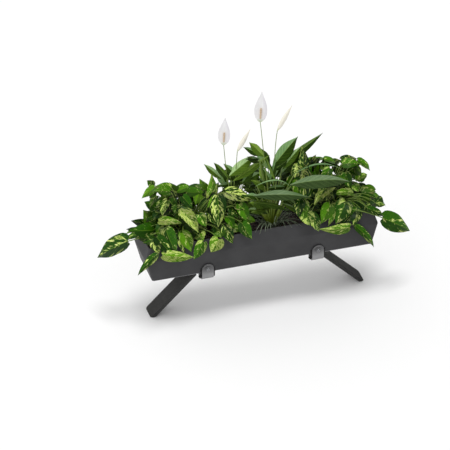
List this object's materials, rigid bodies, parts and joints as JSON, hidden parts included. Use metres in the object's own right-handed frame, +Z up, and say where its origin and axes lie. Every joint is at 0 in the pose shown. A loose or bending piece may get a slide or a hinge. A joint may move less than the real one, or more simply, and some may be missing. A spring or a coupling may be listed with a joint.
{
  "type": "planter divider",
  "caption": "Long dark steel trough planter on a clamped frame with two splayed legs, with a lift-out liner planted with variegated trailing plants and a white-flowered lily.",
  "frame": {"origin": "on the ground, below the middle of the trough, at the centre of the part's footprint box", "axes": "X along the trough, -Y to the front where the clamps show, +Z up"},
  "size_m": [1.7803, 0.3593, 1.36],
  "materials": {
    "dark_coat": "fine-texture matt powder coat",
    "leg_coat": "fine-texture matt powder coat",
    "clamp_steel": "satin grey powder coat",
    "fastener_steel": "zinc plated, satin",
    "black_rubber": "matt black rubber",
    "liner_plastic": "matt black plastic",
    "clay_pebbles": "fired clay pebbles",
    "fleece": "grey needled fleece",
    "potting_soil": "moist bark and peat mix",
    "pothos_leaf": "waxy variegated leaf",
    "lily_leaf": "satin dark green leaf",
    "spathe": "soft white petal",
    "spadix": "knobbly cream flower spike",
    "grass": "thin dark grass"
  },
  "bodies": {
    "stand": {"trough_shell": "dark_coat", "drain_spigots": "dark_coat", "arm_left": "dark_coat", "arm_right": "dark_coat", "arm_pad_left": "black_rubber", "arm_pad_right": "black_rubber", "arm_end_caps": "black_rubber", "cross_beam": "dark_coat", "beam_end_plate_left": "dark_coat", "beam_end_plate_right": "dark_coat", "leg_head_plate_left": "dark_coat", "leg_head_plate_right": "dark_coat", "leg_left": "leg_coat", "leg_right": "leg_coat", "foot_plate_left": "leg_coat", "foot_plate_right": "leg_coat", "front_clamp_left": "clamp_steel", "front_clamp_right": "clamp_steel", "rear_clamp_left": "clamp_steel", "rear_clamp_right": "clamp_steel", "front_pad_left": "black_rubber", "front_pad_right": "black_rubber", "rear_pad_left": "black_rubber", "rear_pad_right": "black_rubber", "clamp_washers": "clamp_steel", "clamp_bolts": "fastener_steel", "clamp_nuts": "fastener_steel", "strap_screws": "fastener_steel", "flange_bolts": "fastener_steel", "flange_nuts": "fastener_steel", "rail_bracket_left": "dark_coat", "rail_bracket_right": "dark_coat"},
    "liner": {"liner_tray": "liner_plastic", "drainage_layer": "clay_pebbles", "filter_fleece": "fleece", "substrate": "potting_soil", "root_ball_left": "potting_soil", "root_ball_right": "potting_soil", "root_ball_lily": "potting_soil", "root_ball_small_lily": "potting_soil", "pothos_left": "pothos_leaf", "pothos_right": "pothos_leaf", "peace_lily": "lily_leaf", "small_peace_lily": "lily_leaf", "spathes": "spathe", "spadices": "black_rubber", "grass_tuft": "grass"},
    "plug_left": {"drain_plug_left": "black_rubber"},
    "plug_right": {"drain_plug_right": "black_rubber"}
  },
  "joints": [
    {"name": "liner_lift", "type": "slide", "parent": "stand", "child": "liner", "axis": [0, 0, 1], "range_m": [0, 0.25]},
    {"name": "plug_left_pull", "type": "slide", "parent": "stand", "child": "plug_left", "axis": [0, 0, -1], "range_m": [0, 0.022]},
    {"name": "plug_right_pull", "type": "slide", "parent": "stand", "child": "plug_right", "axis": [0, 0, -1], "range_m": [0, 0.022]}
  ]
}
